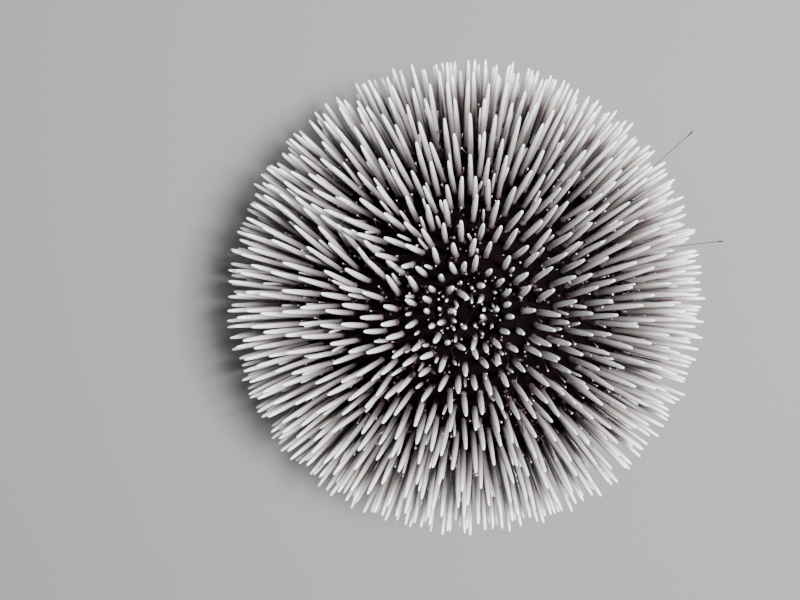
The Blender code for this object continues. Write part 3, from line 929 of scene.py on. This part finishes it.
@dataclass
class TubeFeet:
    """The tube feet along the two edges of each ambulacrum, a few of them stretched out far."""

    rows_apart: float = 0.0036
    radius: float = 0.00025
    lengths: tuple = (0.0025, 0.0070)
    stretched: tuple = ((math.radians(34), 0.45, 0.0315), (math.radians(16), 0.50, 0.0265),
                        (math.radians(169), 0.50, 0.0215))
    stretched_radius: float = 0.00014

    def template(self, bend: float, segments: int = 7) -> Template:
        """A foot of unit radius and length, curved, with a flat disc at its end."""
        bm = turned([(0.0, -0.05), (1.25, 0.0), (0.95, 0.2), (0.75, 0.45), (0.65, 0.70), (0.72, 0.93),
                     (1.55, 0.965), (1.60, 0.985), (0.7, 0.99), (0.0, 0.975)], segments)
        for vert in bm.verts:
            vert.co.x += bend * vert.co.z * vert.co.z
        return Template(bm, 1.0)

    def build(self, material: bpy.types.Material) -> None:
        """Builds the short feet in one piece, and the stretched ones in another."""
        feet = Growth((0.006, 0.010))
        shapes = [self.template(bend) for bend in (0.0, 2.5, -3.0, 5.0)]
        for zone in (z for z in ZONES if z.kind is ZoneKind.AMBULACRUM):
            for side in (-1, 1):
                arc = 0.0012
                while arc < SHAPE.length - 0.001:
                    draw = random.Random(f"feet {zone.name} {side} {arc:.4f}")
                    radius, _, normal = SHAPE.at(arc)
                    for step in range(3):
                        inner = zone.kind.half * (0.62 + 0.11 * step) - 0.0004 * step / radius
                        azimuth = zone.middle + side * (inner + draw.uniform(-0.3, 0.3) * 0.001 / radius)
                        lower = min(arc + step * self.rows_apart / 3, SHAPE.length - 0.0005)
                        towards = direction(azimuth, normal + draw.gauss(0, 0.3), draw.gauss(0, 0.3))
                        length = draw.uniform(*self.lengths)
                        base = SHAPE.place(azimuth, lower, -ROOT_SINK)
                        if (base + towards * length).z > 0.0006:
                            width = self.radius * draw.uniform(0.8, 1.15)
                            place = standing(base, towards, (width, width, length), draw.uniform(0, 6))
                            feet.add(shapes[draw.randrange(4)], place, draw.random(),
                                     (azimuth / math.tau % 1, lower / SHAPE.length))
                    arc += self.rows_apart
        feet.finish("tube_feet", [material], "test_and_spines")
        reaching = Growth((0.05, 0.2))
        for number, (azimuth, share, length) in enumerate(self.stretched):
            arc = share * SHAPE.length
            towards = direction(azimuth, math.radians(86), 0.10 * (-1) ** number)
            scale = (self.stretched_radius, self.stretched_radius, length)
            place = standing(SHAPE.place(azimuth, arc, -ROOT_SINK), towards, scale, 1.0 + number)
            reaching.add(self.template(16.0, 8), place, 0.8, (0.2 + 0.3 * number, 0.5))
        reaching.finish("stretched_tube_feet", [material], "test_and_spines")


@dataclass
class ApicalDisc:
    """The plates on top: the periproct, five genital and five ocular plates, with their small spines."""

    gap: float = 0.0003
    periproct_radius: float = 0.0033
    thickness: float = 0.0022
    ocular_slant: float = math.radians(40)
    ocular_reach: float = 0.0049
    spines: tuple = ((0.0067, 12, 0.0105, 0.00074), (0.0048, -10, 0.0085, 0.00070),
                     (0.0071, -20, 0.0050, 0.00048), (0.0042, 20, 0.0056, 0.00046),
                     (0.0062, 28, 0.0045, 0.00042), (0.0040, -26, 0.0038, 0.00034))

    def plate(self, start: float, angle: float, cuts: list[tuple[Vector, Vector]]) -> bmesh.types.BMesh:
        """A domed plate between two radii, cut by planes and with rounded edges.

        Args:
            start: Azimuth where the ring begins.
            angle: The ring's angle.
            cuts: Points and normals of planes; the normal's side goes.

        Returns:
            The closed plate.
        """
        inner, outer = self.periproct_radius + self.gap, SHAPE.apical_radius - self.gap
        base = SHAPE.height_at(SHAPE.apical_radius, True) - self.thickness
        rim = [(r, SHAPE.height_at(r, True) + 0.00025 * math.sin(math.pi * (outer - r) / (outer - inner)))
               for r in np.linspace(outer, inner, 7)]
        bm = bmesh.new()
        verts = [bm.verts.new((r * math.cos(start), r * math.sin(start), z))
                 for r, z in [(inner, base), (outer, base), *rim]]
        face = bm.faces.new(verts)
        bmesh.ops.spin(bm, geom=[face, *face.edges, *face.verts], cent=(0, 0, 0), axis=(0, 0, 1),
                       angle=angle, steps=14, use_duplicate=False)
        for point, normal in cuts:
            made = bmesh.ops.bisect_plane(bm, geom=bm.verts[:] + bm.edges[:] + bm.faces[:],
                                          plane_co=point, plane_no=normal, clear_outer=True)
            rim_edges = [part for part in made["geom_cut"] if isinstance(part, bmesh.types.BMEdge)]
            bmesh.ops.holes_fill(bm, edges=rim_edges, sides=0)
        bmesh.ops.recalc_face_normals(bm, faces=bm.faces)
        sharp = [edge for edge in bm.edges
                 if edge.is_manifold and edge.calc_face_angle() > math.radians(40)]
        bmesh.ops.bevel(bm, geom=sharp, affect="EDGES", offset=0.00022, segments=2, profile=0.5,
                        material=-1)
        return bm

    def build(self, plate: bpy.types.Material, spine: bpy.types.Material, skin: bpy.types.Material,
              coat: SpineCoat) -> None:
        """Builds the plates, each standing for its own solid, and the small spines on them."""
        growth = Growth((0.06, 0.08))
        template = coat.template(0.2)
        for number in range(SECTORS):
            ocular = FIRST_AMBULACRUM + math.tau * number / SECTORS
            cuts = []
            for side in (-1, 1):
                normal = direction(ocular + side * self.ocular_slant, math.pi / 2)
                cuts.append((normal * (self.ocular_reach + self.gap / 2), -normal))
            bm = self.plate(ocular - math.radians(24), math.radians(48), cuts)
            piece = finish_mesh(f"ocular_{number + 1}", bm, [plate])
            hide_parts(f"ocular_plate_{number + 1}")
            genital = ocular + math.pi / SECTORS
            cuts = []
            for side in (-1, 1):
                edge = genital + side * math.pi / SECTORS
                normal = direction(edge, math.pi / 2, 0).cross(Vector((0, 0, 1))) * -side
                cuts.append((normal * (-self.gap / 2), normal))
                slant = direction(edge + side * self.ocular_slant, math.pi / 2)
                cuts.append((slant * (self.ocular_reach - self.gap / 2), slant))
            bm = self.plate(genital - math.radians(42), math.radians(84), cuts)
            name = "madreporite" if number == 0 else f"genital_plate_{number}"
            piece = finish_mesh(f"{name}_shell", bm, [plate])
            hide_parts(name)
            for place, (ring, off, length, width) in enumerate(self.spines):
                draw = random.Random(f"{name} {place}")
                radius = ring + draw.uniform(-1, 1) * 0.0005
                azimuth = genital + math.radians(off + draw.uniform(-5, 5))
                lean = math.radians(-30 + 42 * radius / SHAPE.apical_radius) + draw.gauss(0, 0.05)
                base = polar(radius, azimuth, SHAPE.height_at(radius, True) + 0.0001)
                length *= draw.uniform(0.85, 1.1)
                width *= draw.uniform(0.9, 1.08)
                where = standing(base, direction(azimuth, lean, draw.gauss(0, 0.1)), (width, width, length))
                growth.add(template, where, draw.random(), (0.1 + 0.17 * number, 0.1 + 0.18 * place))
        growth.finish("apical_spines", [spine, skin], "test_and_spines")
        self.build_periproct(plate)

    def build_periproct(self, plate: bpy.types.Material) -> None:
        """Builds the small domed plate round the anus, in the disc's middle."""
        base = SHAPE.height_at(SHAPE.apical_radius, True) - self.thickness
        crown = SHAPE.height_at(0.001, True)
        outer = self.periproct_radius
        profile = [(0.0, base), (outer, base), (outer, crown - 0.0003), (outer * 0.96, crown - 0.0001),
                   (outer * 0.8, crown + 0.0002), (outer * 0.5, crown + 0.0004), (0.0013, crown + 0.0005),
                   (0.0009, crown + 0.0002), (0.0007, crown - 0.0004), (0.0, crown - 0.0006)]
        bm = turned(profile, 48)
        for vert in bm.verts:
            radius = math.hypot(vert.co.x, vert.co.y)
            if vert.co.z > crown - 0.0002 and radius > 0.0008:
                folds = math.sin(11 * math.atan2(vert.co.y, vert.co.x) + 3000 * radius)
                vert.co.z += 0.00012 * folds
        piece = finish_mesh("periproct_dome", bm, [plate])
        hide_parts("periproct")


@dataclass
class Mouth:
    """The membrane round the mouth with its podia and gills, and the five teeth."""

    gap: float = 0.0003
    thickness: float = 0.0016
    lip_radius: float = 0.0046
    lip_drop: float = 0.0012
    podium_ring: float = 0.0078
    gill_ring: float = 0.0112

    def build(self, membrane: bpy.types.Material, organ: bpy.types.Material,
              tooth: bpy.types.Material) -> None:
        """Builds the membrane, its podia and gills, and dresses the teeth's solids."""
        edge = SHAPE.height_at(SHAPE.peristome_radius, False)
        ceiling, outer = edge + self.thickness, SHAPE.peristome_radius - self.gap
        stations = (self.lip_radius, self.lip_radius * 1.25, self.lip_radius * 1.7, outer)
        slope = [(r, edge - self.lip_drop * float(np.interp(r, stations, (0.8, 1, 0.3, 0))))
                 for r in np.linspace(outer, self.lip_radius, 26)]
        bm = bmesh.new()
        verts = [bm.verts.new((r, 0, z)) for r, z in [(self.lip_radius, ceiling), (outer, ceiling), *slope]]
        edges = [bm.edges.new(pair) for pair in zip(verts, verts[1:] + verts[:1])]
        bmesh.ops.spin(bm, geom=verts + edges, cent=(0, 0, 0), axis=(0, 0, 1), angle=math.tau, steps=120,
                       use_merge=True, use_duplicate=False)
        bmesh.ops.recalc_face_normals(bm, faces=bm.faces)
        for vert in bm.verts:
            radius = math.hypot(vert.co.x, vert.co.y)
            if vert.co.z < edge - 0.00002:
                angle = math.atan2(vert.co.y, vert.co.x)
                across = math.sin(2600 * radius + 2 * math.sin(5 * angle))
                vert.co.z += 0.00010 * (math.sin(40 * angle + 900 * radius) * across)
        piece = finish_mesh("mouth_membrane", bm, [membrane])
        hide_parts("peristome")
        self.build_organs(organ, edge)
        for number in range(SECTORS):
            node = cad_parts[f"tooth_{number + 1}"]
            node.data.materials.clear()
            node.data.materials.append(tooth)

    def build_organs(self, organ: bpy.types.Material, edge: float) -> None:
        """Builds the ten podia round the mouth and the ten branched gills at the membrane's edge."""
        growth = Growth((0.05, 0.08))
        podium = TubeFeet().template(0.6, 10)
        branch = Template(turned([(0.0, -0.1), (1.0, 0.0), (0.9, 0.5), (0.7, 0.85), (0.0, 1.0)], 8), 1.0)
        for number in range(SECTORS):
            middle = FIRST_AMBULACRUM + math.tau * number / SECTORS
            for side in (-1, 1):
                azimuth = middle + side * math.radians(9)
                base = polar(self.podium_ring, azimuth, edge - self.lip_drop * 0.3)
                place = standing(base, direction(azimuth, math.radians(165)), (0.0007, 0.0007, 0.0032))
                growth.add(podium, place, 0.7, (0.1 + 0.17 * number, 0.3 + 0.1 * side))
                azimuth = middle + side * math.radians(24)
                base = polar(self.gill_ring, azimuth, edge)
                for lift in (150, 128):
                    for spread in (-40, -20, 0, 20, 40):
                        towards = direction(azimuth, math.radians(lift), math.radians(spread))
                        width = 0.0003
                        place = standing(base, towards, (width, width, 0.0031 - 0.00002 * abs(spread)))
                        growth.add(branch, place, 0.4, (0.1 + 0.17 * number, 0.7 + 0.1 * side))
        growth.finish("podia_and_gills", [organ], "membrane")


@dataclass
class Studio:
    """The floor, the lights and the camera at the photograph's angle."""

    centre: Vector = field(default_factory=lambda: Vector((0, 0, 0.029)))
    distance: float = 0.300
    tilt_up: float = math.radians(4.5)
    tilt_right: float = math.radians(-2.0)
    pixels_per_metre: float = 3440.0
    centre_pixel: tuple = (462, 298)
    frame_pixels: tuple = (800, 600)
    lens: float = 47.0

    def build(self) -> None:
        """Builds the floor, the lights and the camera."""
        self.floor()
        self.light("key", Vector((0.27, 0.06, 0.76)), 0.20, 26.0, (1.0, 0.99, 0.97))
        self.light("fill", Vector((-0.30, 0.20, 0.70)), 0.5, 1.2, (0.95, 0.97, 1.0))
        world = bpy.data.worlds.new("studio")
        world.use_nodes = True
        world.node_tree.nodes["Background"].inputs["Color"].default_value = (0.90, 0.94, 1.0, 1)
        world.node_tree.nodes["Background"].inputs["Strength"].default_value = 0.05
        bpy.context.scene.world = world
        self.camera()

    def floor(self) -> None:
        """Lays a plain pale floor under the animal."""
        bm = bmesh.new()
        bmesh.ops.create_grid(bm, x_segments=1, y_segments=1, size=3.0)
        mesh = bpy.data.meshes.new("floor")
        bm.to_mesh(mesh)
        bm.free()
        material, _, shader = new_material("pale_floor", 0.8, 0.2)
        shader.inputs["Base Color"].default_value = (0.17, 0.174, 0.181, 1)
        mesh.materials.append(material)
        floor = bpy.data.objects.new("floor", mesh)
        bpy.context.scene.collection.objects.link(floor)

    def light(self, name: str, place: Vector, size: float, power: float, colour: tuple) -> None:
        """Hangs a square soft light that shines at the animal."""
        data = bpy.data.lights.new(name, "AREA")
        data.size = size
        data.energy = power
        data.color = colour
        lamp = bpy.data.objects.new(name, data)
        lamp.location = place
        lamp.rotation_euler = (self.centre - place).to_track_quat("-Z", "Y").to_euler()
        bpy.context.scene.collection.objects.link(lamp)

    def camera(self) -> None:
        """Sets the camera above the animal, aimed so that it stands where the photograph has it."""
        data = bpy.data.cameras.new("camera")
        data.lens = self.lens
        data.sensor_width = 36.0
        data.clip_start = 0.01
        camera = bpy.data.objects.new("camera", data)
        away = Vector((math.sin(self.tilt_right), math.sin(self.tilt_up), 1)).normalized()
        place = self.centre + away * self.distance
        right = (self.centre_pixel[0] - self.frame_pixels[0] / 2) / self.pixels_per_metre
        up = (self.frame_pixels[1] / 2 - self.centre_pixel[1]) / self.pixels_per_metre
        target = self.centre - Vector((right, up, 0))
        look = (target - place).normalized()
        side = look.cross(Vector((0, 1, 0))).normalized()
        upward = side.cross(look)
        turn = Matrix((side, upward, -look)).transposed().to_4x4()
        camera.matrix_world = Matrix.Translation(place) @ turn
        bpy.context.scene.collection.objects.link(camera)
        bpy.context.scene.camera = camera


def main() -> None:
    """Builds every part of the animal and the studio, in order."""
    logging.basicConfig(level=logging.INFO, format="%(message)s")
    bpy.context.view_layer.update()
    Studio().build()
    effects = Effects()
    spine = SpineFinish().material(effects)
    skin = LivingFinish("test_violet", (0.0007, 0.0002, 0.0009), (0.0022, 0.0004, 0.0009), 0.75,
                        0.03).material(effects)
    plate = LivingFinish("plate_violet", (0.0008, 0.0002, 0.0009), (0.003, 0.0008, 0.0018), 0.75, 0.03,
                         blotch_scale=420.0, grain_scale=2400.0, grain_depth=0.0001).material(effects)
    membrane = LivingFinish("membrane_skin", (0.045, 0.014, 0.026), (0.110, 0.045, 0.050), 0.35,
                            blotch_scale=380.0).material(effects)
    tooth = LivingFinish("tooth_enamel", (0.78, 0.76, 0.70), (0.66, 0.60, 0.50), 0.3, 0.5,
                         blotch_scale=500.0, grain_depth=0.00002).material(effects)
    head = StalkFinish("pincer_head", ((0.0, (0.16, 0.10, 0.11)), (0.30, (0.34, 0.28, 0.29)),
                                       (1.0, (0.58, 0.54, 0.53)))).material(effects)
    stalk = StalkFinish("pincer_stalk", ((0.0, (0.006, 0.002, 0.005)), (0.7, (0.022, 0.008, 0.013)),
                                         (1.0, (0.16, 0.11, 0.13)))).material(effects)
    foot = StalkFinish("tube_foot", ((0.0, (0.004, 0.001, 0.003)), (0.6, (0.015, 0.004, 0.006)),
                                     (0.93, (0.026, 0.008, 0.010)),
                                     (1.0, (0.030, 0.013, 0.015)))).material(effects)
    coat = SpineCoat(SpineRows())
    TestSkin().build(skin)
    coat.build(spine, skin)
    Pincers().build(head, stalk)
    TubeFeet().build(foot)
    ApicalDisc().build(plate, spine, skin, coat)
    Mouth().build(membrane, foot, tooth)


if __name__ == "__main__":
    main()
